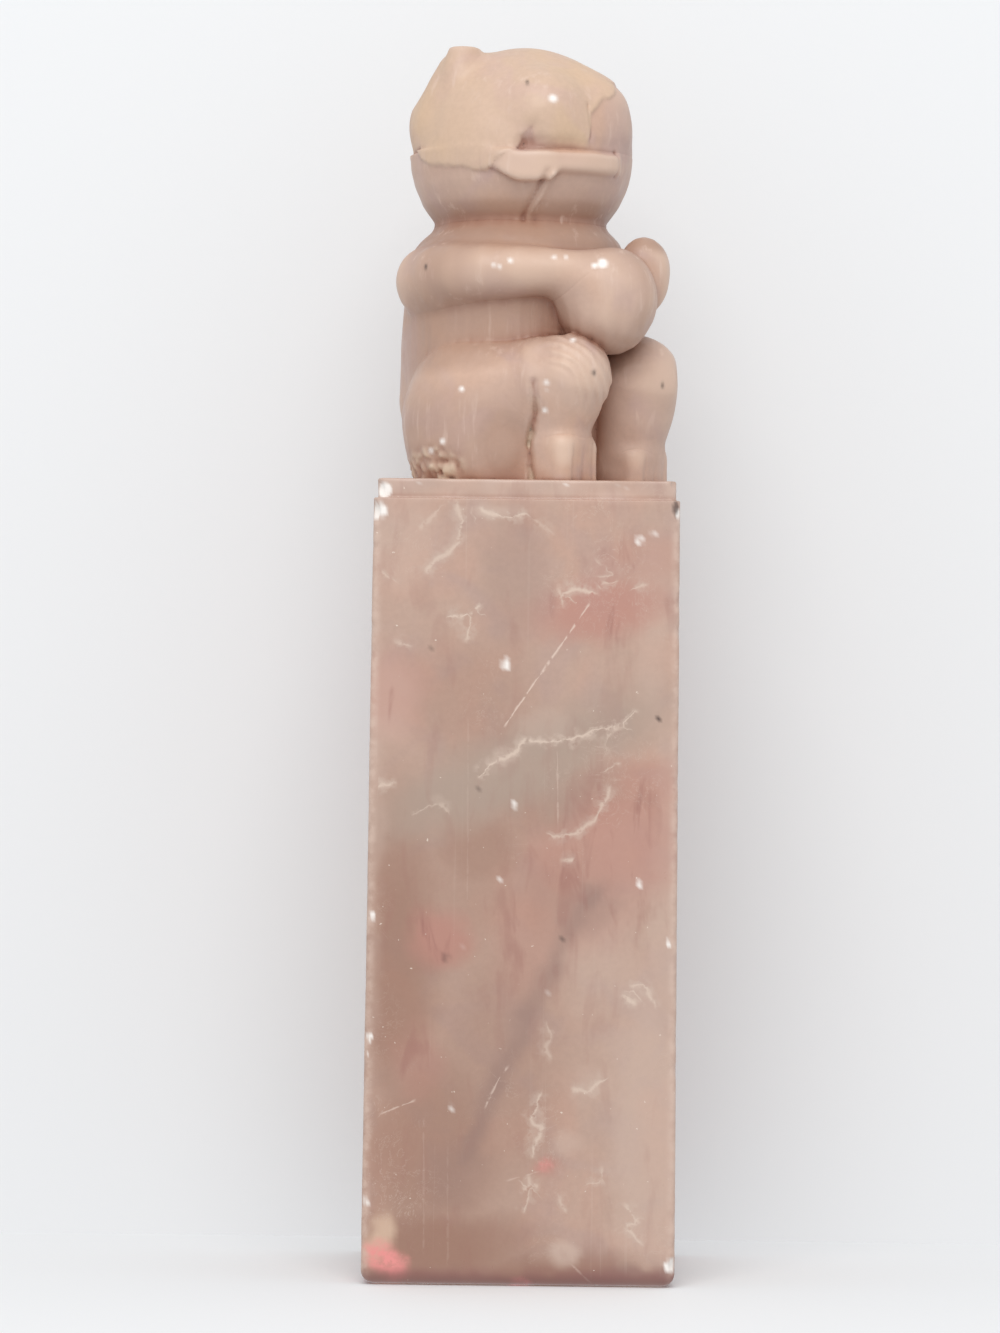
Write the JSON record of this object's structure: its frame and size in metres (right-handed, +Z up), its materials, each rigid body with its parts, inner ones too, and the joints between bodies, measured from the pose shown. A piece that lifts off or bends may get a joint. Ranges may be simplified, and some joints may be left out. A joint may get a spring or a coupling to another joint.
{
  "type": "seal stamp",
  "caption": "Square soft-stone seal stamp: a polished block with a crouching animal holding a fruit carved on its top end, and a flower in relief on its stamping face.",
  "frame": {"origin": "centre of the square stamping face, on the plane that it stands on", "axes": "+Z up the bar from the stamping face to the animal's crown, +Y away from the side that shows the animal's right arm and leg, +X to the right when that side is seen upright"},
  "size_m": [0.0206, 0.0202, 0.0829],
  "materials": {
    "block_stone": "polished pink-beige soapstone with grey and red clouding, waxy sheen",
    "face_stone": "cut soapstone, matt, with traces of red seal paste",
    "figure_stone": "hand-carved mauve-beige soapstone, soft tool marks, satin",
    "head_stone": "paler cream-pink layer of the same soapstone, satin",
    "fruit_stone": "warm beige soapstone, rubbed smooth"
  },
  "bodies": {
    "root": {"seal_block": "block_stone", "stamping_face": "face_stone", "plinth": "block_stone", "torso": "figure_stone", "jaw": "figure_stone", "head": "head_stone", "right_ear": "head_stone", "left_ear": "head_stone", "right_arm": "figure_stone", "left_arm": "figure_stone", "right_hand": "figure_stone", "left_hand": "figure_stone", "held_fruit": "fruit_stone", "right_haunch": "figure_stone", "left_haunch": "figure_stone", "right_thigh": "figure_stone", "left_thigh": "figure_stone", "right_shin": "figure_stone", "left_shin": "figure_stone", "right_foot": "figure_stone", "left_foot": "figure_stone"}
  },
  "joints": []
}
